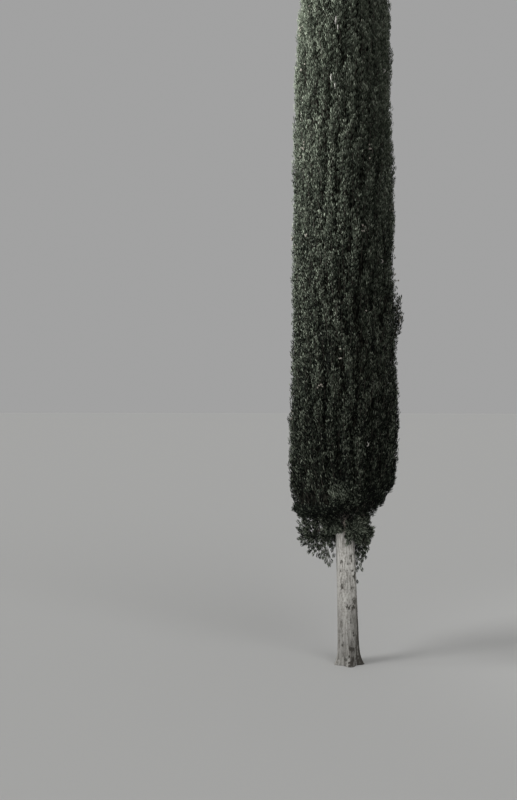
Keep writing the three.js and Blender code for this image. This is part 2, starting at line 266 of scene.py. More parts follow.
bare_z = np.linspace(0, BARE_TOP, BARE_ROWS, endpoint=False)
hidden_z = np.linspace(BARE_TOP, TRUNK_END, HIDDEN_ROWS)
turns, z = np.meshgrid(np.arange(TRUNK_SIDES) / TRUNK_SIDES, np.concatenate([bare_z, hidden_z]))
angle = 2 * math.pi * turns
lobes = np.cos(SWELLS["count"] * angle + SWELLS["turn"])
swell = 1 + SWELLS["size"] * np.exp(-z / SWELLS["height"]) * lobes
flute = 1 + FLUTES["size"] * np.cos(FLUTES["count"] * angle + z / FLUTES["height"])
fibres = bark_fibres(turns, z, FIBRES_ROUND, 11)
lumps = noise(turns * LUMPS_ROUND, z * 1.3, LUMPS_ROUND, 23) - 0.5
r = (trunk_radius(z) + FLARE * np.exp(-z / FLARE_HEIGHT)) * swell * flute
relief = FIBRE_DEPTH * (fibres - 0.6) + LUMP_DEPTH * lumps
r = r + relief * np.minimum(1, r / FULL_RELIEF_RADIUS)
# How flaked and shaded the bark is: flaked flecks where two noises are both high, darker near the
# ground and in the furrows there, painted shade that is least on the left and most on the right,
# a ragged strip of painted shade up the right edge, and the near side's flakes
ragged = noise(turns * RAGGED_ROUND, z * 34, RAGGED_ROUND, 71)
flecks = noise(turns * FLECKS_ROUND, z * 14, FLECKS_ROUND, 51)
groups = noise(turns * FLECK_GROUPS_ROUND, z * 3, FLECK_GROUPS_ROUND, 5)
flaking_and_shade = (3.2 * (flecks * groups - 0.36)).clip(0, 0.7) * (0.2 + 1.2 * ragged)
near_ground = np.exp(-((z / GROUND_DARKENING["height"]) ** 2))
flaking_and_shade = flaking_and_shade + (GROUND_DARKENING["least"] + GROUND_DARKENING["in_furrows"] * (1 - fibres)) * near_ground
# Painted shade: darker towards the right side, and a ragged dark strip up the right edge
flaking_and_shade = flaking_and_shade * (SIDE_PAINTED_SHADE["mean"] + SIDE_PAINTED_SHADE["more"] * np.cos(angle - SIDE_PAINTED_SHADE["turn"]))
strip = np.cos((angle - EDGE_PAINTED_SHADE["turn"]) / 2) ** EDGE_PAINTED_SHADE["power"]
flaking_and_shade = flaking_and_shade + (EDGE_PAINTED_SHADE["least"] + EDGE_PAINTED_SHADE["ragged"] * ragged) * strip
for mark in FLAKES:
    round_off = ((turns - mark["turn"] / 360 + 0.5) % 1 - 0.5) * 2 * math.pi * TRUNK_RADIUS
    away = (round_off / mark["wide"]) ** 2 + ((z - mark["height"]) / mark["tall"]) ** 2
    flaking_and_shade = np.maximum(flaking_and_shade, np.exp(-away) * (0.2 + 1.9 * ragged**1.3))
flaking_and_shade = flaking_and_shade.clip(0, 1)
r = r - FLAKE_DEPTH * flaking_and_shade
trunk_x, trunk_y = axis_at(z)
points = np.stack([trunk_x + r * np.cos(angle), trunk_y + r * np.sin(angle), z], axis=-1)
trunk = sleeve("trunk_bark", points, pale_bark, {"fibre": fibres, "flaked_and_shaded": flaking_and_shade})
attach(trunk, "root")
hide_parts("trunk")

# Lowest boughs
# Six boughs grow out of the trunk just under the crown, bend upward and run on into its lowest
# masses. Their bark is thinner and greyer than the trunk's, with a collar where they join it.
CROWN_FOOT = 3.16
CROWN_RADIUS = 1.245
WIDEST_AT = 4.9
SLOW_TAPER = 0.19
TIP_POWER = 4.4
# A plume's sprays lie below its tip, so the tuft is set 0.3 m higher here than in the solids
TUFT = {"height": 7.93, "turn": math.radians(-18), "out": 0.32, "tall": 0.4, "wide": math.radians(22)}
BOUGHS = 6
BOUGH = {"below": 0.33, "radius": 0.058, "tip_radius": 0.03}
BOUGH_BEND = {"below": 0.12, "share": 0.62}
BOUGH_END = {"above": 0.9, "share": 0.6}
BOUGH_TURNS = np.radians(30 + 60 * np.arange(BOUGHS))
BOUGH_STEPS = 70
BOUGH_SIDES = 28
PALE_LIMB_BARK = (0.33, 0.30, 0.26)
DEEP_LIMB_BARK = (0.06, 0.05, 0.04)
BOUGH_KNOTS = {"size": 0.06, "turns": 23}
COLLAR = {"out": 0.03, "share": 0.1}


def hump(z, a, design):
    """How far into a round place on the crown a point lies: a smooth hump, 1 in its middle."""
    off = np.arctan2(np.sin(a - design["turn"]), np.cos(a - design["turn"]))
    return np.exp(-(((z - design["height"]) / design["tall"]) ** 2) - (off / design["wide"]) ** 2)


def reach(z, a):
    """The crown's outer radius at a height and a direction: a body that narrows slowly, and by a
    high power near the tip, times two slow waves, and one tuft that stands out on the right."""
    u = np.clip((z - WIDEST_AT) / (TREE_HEIGHT - WIDEST_AT), 0, 1)
    body = 1 - SLOW_TAPER * u - (1 - SLOW_TAPER) * u**TIP_POWER
    waves = 1 + 0.018 * np.sin(2 * a + z / 1.9) + 0.012 * np.sin(3 * a - z / 1.3)
    return CROWN_RADIUS * body * waves + TUFT["out"] * hump(z, a, TUFT)


def crown_point(z, r, a):
    """A point from its height, its distance from the leaning axis and its direction."""
    x, y = axis_at(z)
    return np.stack(np.broadcast_arrays(x + r * np.cos(a), y + r * np.sin(a), z), axis=-1)


def unit(v):
    return v / np.maximum(np.linalg.norm(v, axis=-1, keepdims=True), 1e-9)


def square_to(along):
    """Two unit vectors square to each direction and to each other."""
    first = unit(np.cross(np.array([0.31, 0.95, 0.05]), along))
    return first, np.cross(along, first)


def bezier(controls, t):
    """Points and directions on curves of three control points each, at t, curves by steps."""
    first, middle, last = (control[:, None] for control in controls)
    t = t[..., None]
    points = (1 - t) ** 2 * first + 2 * t * (1 - t) * middle + t**2 * last
    return points, unit((1 - t) * (middle - first) + t * (last - middle))


def limbs(paths, radii, sides):
    """Closed round limbs along paths, curves by steps by 3: a ring of each radius square to the
    path at each step, and a fan to the path at both ends. Returns corners and triangles."""
    curves, steps = paths.shape[:2]
    first, second = square_to(unit(np.gradient(paths, axis=1)))
    turn = 2 * math.pi * np.arange(sides) / sides
    ring = first[:, :, None] * np.cos(turn)[:, None] + second[:, :, None] * np.sin(turn)[:, None]
    rings = paths[:, :, None] + ring * radii[..., None, None]
    corners = np.concatenate([rings.reshape(curves, -1, 3), paths[:, :1], paths[:, -1:]], axis=1)
    here = np.arange(steps * sides).reshape(steps, sides)
    beside = np.roll(here, -1, axis=1)
    quads = np.stack([here[:-1], beside[:-1], beside[1:], here[1:]], axis=-1).reshape(-1, 4)
    each = corners.shape[1]
    faces = np.concatenate([
        quads[:, [0, 1, 2]],
        quads[:, [0, 2, 3]],
        np.stack([beside[0], here[0], np.full(sides, each - 2)], axis=-1),
        np.stack([here[-1], beside[-1], np.full(sides, each - 1)], axis=-1),
    ])
    offsets = (np.arange(curves) * each)[:, None, None]
    return corners.reshape(-1, 3), (faces[None] + offsets).reshape(-1, 3)


def bough_curves():
    """The boughs as curves of three control points, from the trunk's middle up into the crown."""
    out = BOUGH_END["share"] * reach(CROWN_FOOT + 1.0, BOUGH_TURNS)
    start_z = np.full(BOUGHS, CROWN_FOOT - BOUGH["below"])
    bend_z = np.full(BOUGHS, CROWN_FOOT - BOUGH_BEND["below"])
    end_z = np.full(BOUGHS, CROWN_FOOT + BOUGH_END["above"])
    return (
        crown_point(start_z, 0.0, BOUGH_TURNS),
        crown_point(bend_z, out * BOUGH_BEND["share"], BOUGH_TURNS),
        crown_point(end_z, out, BOUGH_TURNS),
    )


grey_bark, shade, shader = new_material(
    "grey_limb_bark", {"Roughness": 0.93, "Specular IOR Level": 0.2}
)
place = shade.node("ShaderNodeTexCoord", output=OBJECT_PLACE)
grain = shade.node("ShaderNodeTexNoise", {}, {"Vector": place, "Scale": 24.0, "Detail": 6.0})
limb_tone = (grain * 2.2 - 0.6).blend(DEEP_LIMB_BARK, PALE_LIMB_BARK)
limb_tone.feed(shader.inputs["Base Color"])
limb_bump = shade.node("ShaderNodeBump", {}, {"Height": grain, "Distance": 0.01, "Strength": 0.9})
limb_bump.feed(shader.inputs["Normal"])

t = np.repeat(np.linspace(0, 1, BOUGH_STEPS)[None], BOUGHS, axis=0)
paths, _ = bezier(bough_curves(), t)
radii = lerp(BOUGH["radius"], BOUGH["tip_radius"], t)
knots = np.sin(BOUGH_KNOTS["turns"] * t + np.arange(BOUGHS)[:, None])
radii = radii * (1 + BOUGH_KNOTS["size"] * knots) + COLLAR["out"] * np.exp(-t / COLLAR["share"])
boughs = mesh_piece("lowest_boughs", *limbs(paths, radii, BOUGH_SIDES), [grey_bark], smooth=True)
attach(boughs, "root")
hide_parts(*[f"bough_{i + 1}" for i in range(BOUGHS)])

# Inside of the crown
# Old shaded twigs and dead foliage packed so tight round the trunk that no sky shows through,
# in a shell of upright ribs well inside the living sprays, and cupped like the crown's foot. Its
# near-black colour is partly the dead wood's own and partly painted shade of the crown's inside.
THATCH_SHARE = 0.81
THATCH_DEPTH = 0.065
THATCH_OVER_FOOT = 0.16
THATCH_INNER = 0.16
THATCH_COLUMNS = 150
THATCH_CUP_ROWS = 26
THATCH_ROWS = 250
THATCH_TOP = TREE_HEIGHT - 0.45
RIBS_ROUND = 38
FINE_RIBS_ROUND = 75
RIB_DEPTH = 0.09
CUP_RIB_DEPTH = 0.1
CUP_FADE = 0.3
# Nearly black colours: partly the dead foliage's own dark, partly painted shade of the crown's inside
DEAD_PALE = (0.055, 0.055, 0.043)
DEAD_AND_SHADED_DEEP = (0.004, 0.004, 0.003)
RIM_RISE = {"left": 0.3, "more": 1.2}


def foot(r, a):
    """The crown's underside: a bowl that rises with the cube of the distance from the axis, and
    to a rim that climbs from the left to the right by the cube of a half turn's cosine."""
    rise = RIM_RISE["left"] + RIM_RISE["more"] * np.abs(np.cos(a / 2)) ** 3
    return CROWN_FOOT + rise * (r / CROWN_RADIUS) ** 3


dead_foliage_and_shade, shade, shader = new_material(
    "dead_foliage_and_shade", {"Roughness": 0.95, "Specular IOR Level": 0.05}
)
place = shade.node("ShaderNodeTexCoord", output=OBJECT_PLACE)
upright = shade.node("ShaderNodeMapping", {}, {"Vector": place, "Scale": (1.0, 1.0, 0.25)})
tangle = shade.node("ShaderNodeTexNoise", {}, {"Vector": upright, "Scale": 46.0, "Detail": 4.0})
# Painted shade of the crown's inside over a tangle of dead twigs
dead_tone = (tangle * 5.0 - 2.4).blend(DEAD_AND_SHADED_DEEP, DEAD_PALE)
dead_tone.feed(shader.inputs["Base Color"])
tangle_bump = shade.node("ShaderNodeBump", {}, {"Height": tangle, "Distance": 0.03, "Strength": 1.0})
tangle_bump.feed(shader.inputs["Normal"])

a = 2 * math.pi * np.arange(THATCH_COLUMNS) / THATCH_COLUMNS
rim_z = foot(THATCH_SHARE * CROWN_RADIUS, a) + THATCH_OVER_FOOT
rim_r = THATCH_SHARE * reach(rim_z, a) - THATCH_DEPTH
cup_r = lerp(THATCH_INNER, rim_r, np.linspace(0, 1, THATCH_CUP_ROWS)[:-1, None])
cup_z = foot(cup_r, a) + THATCH_OVER_FOOT
wall_z = lerp(rim_z, THATCH_TOP, np.linspace(0, 1, THATCH_ROWS)[:, None])
wall_r = THATCH_SHARE * reach(wall_z, a) - THATCH_DEPTH
z = np.concatenate([cup_z, wall_z])
r = np.concatenate([cup_r, wall_r])
turns = np.broadcast_to(a / (2 * math.pi), z.shape)
ribs = noise(turns * RIBS_ROUND, z * 1.4, RIBS_ROUND, 3)
ribs = ribs + 0.6 * noise(turns * FINE_RIBS_ROUND, z * 5, FINE_RIBS_ROUND, 8) - 0.8
cup = np.concatenate([np.linspace(0, 1, THATCH_CUP_ROWS)[:-1], np.ones(THATCH_ROWS)])[:, None]
r = r * (1 + RIB_DEPTH * ribs * cup)
z = z + CUP_RIB_DEPTH * ribs * (1 - cup * np.minimum(1, (z - rim_z).clip(0) / CUP_FADE))
thatch = sleeve("inner_thatch", crown_point(z, r, a), dead_foliage_and_shade)
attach(thatch, "root")

# Living foliage of the column
# Tiers of masses round the trunk. Each mass is a sheaf of plumes on one limb: a plume roots deep
# inside, turns upright at the crown's surface and carries tufts of short scale-leaved sprays. One
# round clump stands out of a shaded hollow at the front of the foot.
CLIMB = 2.0
ROOT_SHARE = 0.66
RIM_WAVE = 0.28
TIERS = (
    {"name": "foot", "low": None, "masses": 6, "turn": 30, "plumes": 43, "rise": 0.68},
    {"name": "low", "low": 3.3, "masses": 5, "turn": 36, "plumes": 62, "rise": 0.88},
    {"name": "lower_middle", "low": 5.9, "masses": 5, "turn": 0, "plumes": 62, "rise": 0.9},
    {"name": "middle", "low": 8.5, "masses": 5, "turn": 36, "plumes": 60, "rise": 0.9},
    {"name": "upper_middle", "low": 11.1, "masses": 5, "turn": 0, "plumes": 58, "rise": 0.88},
    {"name": "high", "low": 13.7, "masses": 4, "turn": 30, "plumes": 60, "rise": 0.82},
    {"name": "top", "low": 16.2, "masses": 3, "turn": 0, "plumes": 52, "rise": 0.68},
    {"name": "leader", "low": 18.4, "masses": 1, "turn": 0, "plumes": 100, "rise": 0.52},
)
# How a plume's rise and reach vary, and the share of its rise that stays under the next tier
PLUME = {"rise": (0.75, 1.15), "reach": (0.96, 0.905), "swirl": 0.12, "inside": 0.9}
PLUME_BEND = {"out": 0.95, "up": 0.3, "round": 0.3}
TOP_GAP = 0.13
GOLDEN_ANGLE = math.radians(137.5)
TUFTS_ON_PLUME = 20
TUFT_SPAN = (0.3, 0.97)
TUFT_LENGTH = 0.16
TUFT_SIZES = (1.1, 0.8)
TUFT_LEAN = (0.5, 0.1)
PLUME_RADIUS = 0.08
SLIM = {"below": 0.4, "least": 0.3}
SPRAYS_IN_TUFT = 6
SPRAY_SIZES = (0.6, 0.46)
SPRAY_LEAN = (0.5, 0.1)
SPRAY_WIDTH = 0.0215
SPRAY_THICKNESS = 0.011
SPRAY_SHOULDER = 0.42
LOBES = 11
OUT_OF_CREASE = 0.5
CREASE_DEPTH = 0.09
BULGES_ROUND = 6
BULGE_HEIGHT = 0.045
CUP = {"plumes": 130, "inner": 0.2, "outer": 1.0, "edge": 1.06, "root_over": 0.14}
CUP_RUN = (0.2, 0.35)
CUP_END_OVER = (0.04, 0.14)
CLUMP_TURN = math.radians(-88)
CLUMP = {"height": 3.71, "out": 0.88, "size": 0.33, "plumes": 26, "cap": 1.3, "up": 0.5, "lift": 0.13}
CLUMP_STRETCH = np.array([0.95, 0.95, 0.8])
HOLLOW = {"height": 3.74, "turn": CLUMP_TURN, "tall": 0.4, "wide": math.radians(22), "depth": 0.2}
# Tones are numbered from 0, the darkest. A plume starts at the middle tone. It is painted lighter
# the higher its tip is, as painted light on the upper crown, and painted darker as shade low in
# the crown, in a crease and in the hollow. Sprays and plumes stray from that at random, by less
# the higher they are.
MIDDLE_TONE = 1.38
PAINTED_LIGHT_UPWARD = {"by": 0.225, "middle": 9, "within": 6}
LOW_SHADE = {"by": 0.55, "top": 7, "fade": 2, "bottom": 3.4, "sharp": 0.6}
CREASE_SHADE = 0.8
HOLLOW_SHADE = 2.6
# The clump is painted lighter than the crown round it, most where its plumes point upward, as painted
# light on its top
CLUMP_PAINTED_LIGHT = {"by": 0.8, "upward": 1.3}
SPRAY_STRAY = (2.2, 0.3)
PLUME_STRAY = (1.0, 0.3)
STRAY_FROM = 5
STRAY_OVER = 9
# Tufts deep down a plume are painted darker as shade, and those near its tip lighter as painted light
TUFT_TIP_PAINTED_LIGHT = 1.5
TUFT_STRAY = 0.5
# The low sprays of a tuft are painted darker and the high ones lighter, as painted shade and light
SPRAY_PAINTED_LIGHT = (-0.6, 0.6)
# Six steps of one foliage green, from nearly black to light, which carry both the random tones and the
# painted light and shade of the tone levels
FOLIAGE_TONES = (
    ("foliage_black", (0.005, 0.006, 0.005)),
    ("foliage_deep", (0.020, 0.025, 0.018)),
    ("foliage_shade", (0.042, 0.051, 0.037)),
    ("foliage_body", (0.078, 0.092, 0.068)),
    ("foliage_light", (0.135, 0.155, 0.118)),
    ("foliage_lightest", (0.23, 0.255, 0.20)),
)
foliage_paints = [
    new_material(name, {"Base Color": tone, "Roughness": 0.8, "Specular IOR Level": 0.08})[0]
    for name, tone in FOLIAGE_TONES
]


def tier_low(k, r, a):
    """A tier's lower side: a cone that opens upward, with three waves round its rim. The lowest
    tier's is the crown's foot, and above the last one lies the tree's tip."""
    if k == len(TIERS):
        return np.full(np.shape(a), TREE_HEIGHT)
    if TIERS[k]["low"] is None:
        return foot(r, a)
    wave = RIM_WAVE * (r / CROWN_RADIUS) ** 2 * np.sin(3 * a + 2.1 * k)
    return TIERS[k]["low"] + CLIMB * r + wave


def heights_at(k, a, part):
    """The heights between which a tier lies at a share of the reach: each height gives a radius,
    which gives the next height, four times over."""
    low = high = np.full(np.shape(a), TIERS[k]["low"] or CROWN_FOOT)
    for _ in range(4):
        low = tier_low(k, part * reach(low, a), a)
        high = tier_low(k + 1, part * reach(high, a), a)
    return low, high


def phase(z, a):
    """Where a place lies across the plumes, half a turn to each: its direction times half their
    number, with a slow wander."""
    return LOBES * a + 1.3 * np.sin(0.9 * z) + 0.8 * np.sin(2.1 * z + 2 * a)


def crease(z, a):
    """Depth between plumes, 0 on a plume's back and 1 in the narrow crease between two."""
    return (1 - np.abs(np.sin(phase(z, a)))) ** 2


def bulge(z, a):
    """Slow swellings of the surface, from -1 to 1: noise of cells a metre and a quarter wide."""
    return 2 * noise(a * BULGES_ROUND / (2 * math.pi), z * 0.8, BULGES_ROUND, 29) - 1


def plume_curves(k):
    """A tier's plumes as curves of three control points, with each one's mass and how much painted
    shade it gets for its place in a crease or the hollow. Roots are spread evenly over each mass by
    the fractions of two steps that never repeat, then moved a little out of the creases. A tip lies
    one rise above its root, near the reach, and the curve turns upright before it."""
    tier = TIERS[k]
    mass, i = np.divmod(np.arange(tier["masses"] * tier["plumes"]), tier["plumes"])
    seed = 10 * k + mass
    across = ((i + 0.5) * 0.7549 + chance(seed, 1)) % 1
    upward = ((i + 0.5) * 0.5698 + chance(seed, 2)) % 1
    half = math.pi / tier["masses"]
    a = math.radians(tier["turn"]) + half * (2 * mass + 2 * across - 1)
    lowest, highest = heights_at(k, a, 1)
    a = a + OUT_OF_CREASE * np.sin(2 * phase(lerp(lowest, highest, upward), a)) / LOBES
    rise = tier["rise"] * lerp(*PLUME["rise"], chance(seed, 10 + i))
    rim_z, top_z = heights_at(k, a, 1)
    lowest = heights_at(k, a, ROOT_SHARE)[0] + 0.03
    if k > 0:
        lowest = np.minimum(lowest, rim_z - PLUME["inside"] * rise)
    root_z = lerp(lowest, top_z - PLUME["inside"] * rise, upward)
    tip_z = np.minimum(root_z + rise, TREE_HEIGHT - TOP_GAP)
    swirl = PLUME["swirl"] * (chance(seed, 70 + i) - 0.5)
    tip_a = a + swirl
    tip_r = reach(tip_z, tip_a) * lerp(*PLUME["reach"], chance(seed, 40 + i))
    uneven = BULGE_HEIGHT * (bulge(tip_z, tip_a) - 0.6) - CREASE_DEPTH * crease(tip_z, tip_a)
    sunk = hump(tip_z, tip_a, HOLLOW)
    tip_r = tip_r * (1 + uneven - HOLLOW["depth"] * sunk)
    root_r = ROOT_SHARE * reach(root_z, a)
    bend_r = lerp(root_r, tip_r, PLUME_BEND["out"])
    bend_z = lerp(root_z, tip_z, PLUME_BEND["up"])
    if k == 0:
        bend_z = np.maximum(bend_z, foot(bend_r, a) - 0.05)
        tip_z = np.maximum(tip_z, foot(tip_r, a) + 0.15)
    controls = (
        crown_point(root_z, root_r, a),
        crown_point(bend_z, bend_r, a + PLUME_BEND["round"] * swirl),
        crown_point(tip_z, tip_r, tip_a),
    )
    return controls, mass, CREASE_SHADE * crease(tip_z, tip_a) + HOLLOW_SHADE * sunk


def cup_curves():
    """Plumes all over the underside of the lowest masses, as curves that follow the bowl of the
    crown's foot outward from the trunk."""
    i = np.arange(CUP["plumes"])
    r = lerp(CUP["inner"], CUP["outer"], np.sqrt((i + 0.5) / CUP["plumes"]))
    a = GOLDEN_ANGLE * i
    end_r = np.minimum(r + lerp(*CUP_RUN, chance(i, 5)), CUP["edge"])
    end_z = foot(end_r, a) + lerp(*CUP_END_OVER, chance(i, 6))
    bend_r = lerp(r, end_r, 0.6)
    return (
        crown_point(foot(r, a) + CUP["root_over"], r, a),
        crown_point(foot(bend_r, a), bend_r, a),
        crown_point(end_z, end_r, a + 0.2 * (chance(i, 7) - 0.5)),
    )


def clump_curves():
    """The plumes of one round clump that stands out of the crown's foot at the front, and how far
    upward each points, from -1 to 1. They fan out from its middle over the cap of a ball that
    faces outward and up, at the golden angle, and their ends turn up."""
    i = np.arange(CLUMP["plumes"])
    outward = np.array([math.cos(CLUMP_TURN), math.sin(CLUMP_TURN), 0])
    axis = unit(outward + np.array([0, 0, CLUMP["up"]]))
    one, two = square_to(axis)
    tilt = np.arccos(1 - CLUMP["cap"] * (i + 0.5) / CLUMP["plumes"])[:, None]
    spin = (GOLDEN_ANGLE * i)[:, None]
    fan = axis * np.cos(tilt) + (one * np.cos(spin) + two * np.sin(spin)) * np.sin(tilt)
    middle = crown_point(CLUMP["height"], CLUMP["out"], CLUMP_TURN)
    size = CLUMP["size"]
    root = middle - 0.2 * outward + 0.3 * size * fan
    bend = middle + 0.8 * size * fan
    tip = middle + size * fan * CLUMP_STRETCH + np.array([0, 0, CLUMP["lift"]])
    return (root, bend, tip), fan[:, 2]


def stray(limits, z):
    """How far tones stray at a height: the first limit low in the crown, the second high in it."""
    return lerp(*limits, ((z - STRAY_FROM) / STRAY_OVER).clip(0, 1))


def tufts(controls, count, span, radius, length, level, rng):
    """Tufts on curves: bases at even steps along a span of each curve, set off from it at the
    golden angle, that point along it and away from it, less so nearer its tip. Returns bases,
    directions, outward directions, lengths and tone levels, which are painted lighter nearer the
    tip and darker deeper in, as painted light and shade."""
    curves = len(controls[0])
    step = (np.arange(count) + rng.uniform(0, 1, (curves, count))) / count
    t = lerp(*span, step)
    points, along = bezier(controls, t)
    one, two = square_to(along)
    turn = GOLDEN_ANGLE * np.arange(count) + rng.uniform(0, 2 * math.pi, (curves, 1))
    out = one * np.cos(turn)[..., None] + two * np.sin(turn)[..., None]
    off = radius * np.sqrt(1.1 - 0.8 * step) * rng.uniform(0.45, 1.05, t.shape)
    up = unit(along + out * lerp(*TUFT_LEAN, step)[..., None] + np.array([0, 0, 0.3]))
    size = length * lerp(*TUFT_SIZES, step) * rng.uniform(0.65, 1.25, t.shape)
    # Painted light towards the plume's tip, painted shade deeper in
    tone = level[:, None] + TUFT_TIP_PAINTED_LIGHT * step + rng.normal(0, TUFT_STRAY, t.shape)
    made = (points + out * off[..., None] - along * 0.04, up, out, size, tone)
    return [values.reshape(-1, *values.shape[2:]) for values in made]


def sprays(bases, ups, outs, lengths, levels, count, rng):
    """The sprays of every tuft, as corners, triangles and tones. A spray is a closed kite of four
    faces: a root, a tip, and two side points four tenths along, set apart by its width and
    raised by its thickness. Sprays leave the tuft's axis at the golden angle, the low ones wide
    and long and painted darker, the high ones upright and short and painted lighter, as painted
    shade and light on the tuft."""
    side = unit(np.cross(ups, outs))
    front = np.cross(side, ups)
    step = (np.arange(count) + 0.5) / count
    shape = (len(bases), count)
    turn = GOLDEN_ANGLE * np.arange(count) + rng.uniform(0, 2 * math.pi, (len(bases), 1))
    around = side[:, None] * np.cos(turn)[..., None] + front[:, None] * np.sin(turn)[..., None]
    lean = lerp(*SPRAY_LEAN, step) * rng.uniform(0.5, 1.4, shape)
    along = unit(ups[:, None] * np.cos(lean)[..., None] + around * np.sin(lean)[..., None])
    start = (0.6 * step * lengths[:, None])[..., None]
    root = bases[:, None] + ups[:, None] * start + around * 0.012
    size = (lengths[:, None] * lerp(*SPRAY_SIZES, step) * rng.uniform(0.7, 1.2, shape))[..., None]
    width = (0.5 * SPRAY_WIDTH * rng.uniform(0.65, 1.2, shape))[..., None]
    flat = unit(np.cross(along, around + 0.1 * ups[:, None]))
    roll = rng.uniform(-1.0, 1.0, shape)[..., None]
    flat = flat * np.cos(roll) + np.cross(along, flat) * np.sin(roll)
    middle = root + along * SPRAY_SHOULDER * size + np.cross(flat, along) * SPRAY_THICKNESS
    kites = np.stack([root, root + along * size, middle + flat * width, middle - flat * width], axis=2)
    faces = np.array([[0, 2, 1], [0, 1, 3], [0, 3, 2], [1, 2, 3]])
    triangles = faces[None] + 4 * np.arange(kites.shape[0] * count)[:, None, None]
    strayed = stray(SPRAY_STRAY, bases[:, 2:]) * rng.normal(0, 1, shape)
    # Painted shade on a tuft's low sprays, painted light on its high ones
    tone = levels[:, None] + lerp(*SPRAY_PAINTED_LIGHT, step) + strayed
    tone = np.clip(np.round(tone), 0, len(FOLIAGE_TONES) - 1).astype(int)
    return kites.reshape(-1, 3), triangles.reshape(-1, 3), np.repeat(tone.ravel(), 4)


plume_sets = [plume_curves(k) for k in range(len(TIERS))]
for k, tier in enumerate(TIERS):
    rng = np.random.default_rng(100 + k)
    controls, _, shaded = plume_sets[k]
    if k == 0:
        cup = cup_curves()
        clump, upward = clump_curves()
        controls = tuple(np.concatenate(group) for group in zip(controls, cup, clump))
        below = cup[2] - np.array([*axis_at(CROWN_FOOT), 0])
        under = hump(below[:, 2] + 0.3, np.arctan2(below[:, 1], below[:, 0]), HOLLOW)
        cup_shaded = CREASE_SHADE + HOLLOW_SHADE * under
        # Painted light on the clump, most on its upward plumes
        clump_shaded = -CLUMP_PAINTED_LIGHT["by"] - CLUMP_PAINTED_LIGHT["upward"] * upward
        shaded = np.concatenate([shaded, cup_shaded, clump_shaded])
    tip_z = controls[2][:, 2]
    # Painted light that grows upward, and painted shade low in the crown, in creases and in the hollow
    within = PAINTED_LIGHT_UPWARD["within"]
    over_middle = (tip_z - PAINTED_LIGHT_UPWARD["middle"]).clip(-within, within)
    under_top = ((LOW_SHADE["top"] - tip_z) / LOW_SHADE["fade"]).clip(0, 1)
    over_bottom = ((tip_z - LOW_SHADE["bottom"]) / LOW_SHADE["sharp"]).clip(0, 1)
    level = MIDDLE_TONE + PAINTED_LIGHT_UPWARD["by"] * over_middle - shaded
    level = level - LOW_SHADE["by"] * under_top * over_bottom
    level = level + stray(PLUME_STRAY, tip_z) * rng.normal(0, 1, len(level))
    slim = np.clip(reach(tip_z, 0.0) / SLIM["below"], SLIM["least"], 1)[:, None]
    grown = tufts(controls, TUFTS_ON_PLUME, TUFT_SPAN, PLUME_RADIUS * slim, TUFT_LENGTH, level, rng)
    corners, triangles, tones = sprays(*grown, SPRAYS_IN_TUFT, rng)
    column = mesh_piece(f"{tier['name']}_sprays", corners, triangles, foliage_paints, tones)
    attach(column, "root")
    numbers = [f"_{j + 1}" for j in range(tier["masses"])] if tier["masses"] > 1 else [""]
    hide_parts(*[f"foliage_{tier['name']}{number}" for number in numbers])

# Limbs and twigs inside the crown
# Each mass hangs on one limb that leaves the trunk at its tier's slope, and the lowest masses on
# the boughs. A twig runs from the limb into each of its plumes, but none into the plumes of the
# underside and of the clump.
LIMB_SIDES = 6
LIMB_STEPS = 12
LIMB_END = {"share": 0.56, "above": 1.3}
LIMB_BEND = {"up": 0.36, "share": 0.5}
LIMB_RADIUS = {"root": 0.046, "less_a_tier": 0.004, "end": 0.014}
LEADER_GAP = 0.2
TWIG_DROP = 0.25
TWIG_ENDS = (0.02, 0.98)
# Twig bark is painted much darker than the limb bark outside, as painted shade inside the crown
SHADED_TWIG_BARK = (0.075, 0.066, 0.054)
TWIG_SIDES = 3
TWIG_STEPS = np.array([0.0, 0.22, 0.45, 0.7, 0.95])
TWIG_RADII = np.array([0.011, 0.009, 0.007, 0.006, 0.0045, 0.003])


def mass_limbs(k):
    """The limb of each mass of a tier as a curve of three control points: from the trunk's middle,
    up the slope of the tier, or straight up the trunk's axis for the leader."""
    tier = TIERS[k]
    if k == 0:
        return bough_curves()
    middle = np.radians(tier["turn"] + 360 * np.arange(tier["masses"]) / tier["masses"])
    if tier["masses"] == 1:
        start_z = np.array([tier["low"]])
        out = 0.0
        end_z = np.array([TREE_HEIGHT - LEADER_GAP])
    else:
        start_z = np.full(tier["masses"], (tier["low"] + TIERS[k + 1]["low"]) / 2)
        out = LIMB_END["share"] * reach(start_z + LIMB_END["above"], middle)
        end_z = start_z + CLIMB * out
    return (
        crown_point(start_z, 0.0, middle),
        crown_point(lerp(start_z, end_z, LIMB_BEND["up"]), out * LIMB_BEND["share"], middle),
        crown_point(end_z, out, middle),
    )


def gather(parts):
    """One mesh's corners and triangles from several, each with its numbers moved on."""
    starts = np.cumsum([0] + [len(corners) for corners, _ in parts[:-1]])
    corners = np.concatenate([corners for corners, _ in parts])
    return corners, np.concatenate([faces + start for (_, faces), start in zip(parts, starts)])


